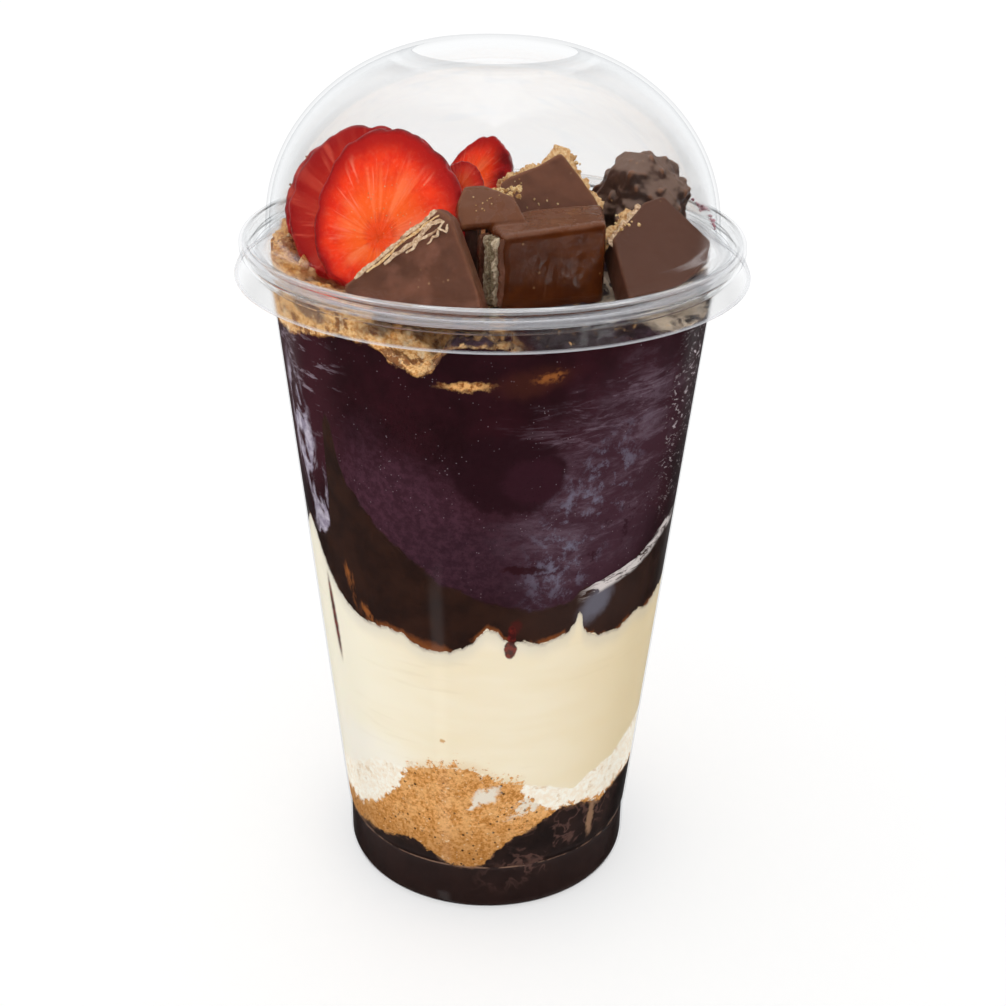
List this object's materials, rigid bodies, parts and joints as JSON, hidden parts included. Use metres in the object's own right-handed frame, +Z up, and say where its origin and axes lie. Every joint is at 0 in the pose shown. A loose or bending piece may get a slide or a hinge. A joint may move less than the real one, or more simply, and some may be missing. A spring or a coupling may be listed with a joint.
{
  "type": "acai cup",
  "caption": "Clear tapered cup with an open-topped clear dome lid, filled with layers of cream, chocolate and frozen acai, with strawberry slices, chocolate pieces and crumbs on top.",
  "frame": {"origin": "middle of the cup's foot, on the surface that it stands on", "axes": "+Z up through the cup and the lid's hole, -Y towards the shown front, +X to its right"},
  "size_m": [0.103, 0.103, 0.1802],
  "materials": {
    "clear_plastic": "clear, thin, glossy PET plastic",
    "milk_chocolate": "broken milk chocolate, satin, with wafer showing at the breaks",
    "dark_chocolate": "dark chocolate, satin",
    "strawberry": "wet cut fruit with pale rays and a red skin",
    "crumb": "golden toasted crumbs, matte",
    "chocolate_base": "dark chocolate sauce pressed against the cup",
    "peanut_crumble": "ground peanut crumble with dark specks",
    "milk_layer": "white milk powder pressed against the cup",
    "cream": "smooth pale yellow cream",
    "ganache": "nearly black chocolate sauce, amber where it is thin",
    "acai": "frozen dark purple acai with a frosty haze"
  },
  "bodies": {
    "root": {"cup": "clear_plastic", "lid": "clear_plastic", "chocolate_base": "chocolate_base", "peanut_crumble": "peanut_crumble", "milk_layer": "milk_layer", "cream": "cream", "ganache": "ganache", "acai": "acai", "crumb_topping": "crumb", "strawberry_front": "strawberry", "strawberry_middle": "strawberry", "strawberry_back": "strawberry", "strawberry_quarter": "strawberry", "choc_block_front": "milk_chocolate", "choc_wedge_left": "milk_chocolate", "choc_shard": "milk_chocolate", "choc_block_back": "milk_chocolate", "choc_wedge_right": "milk_chocolate", "choc_sliver_dark": "dark_chocolate", "choc_ball": "dark_chocolate"}
  },
  "joints": []
}
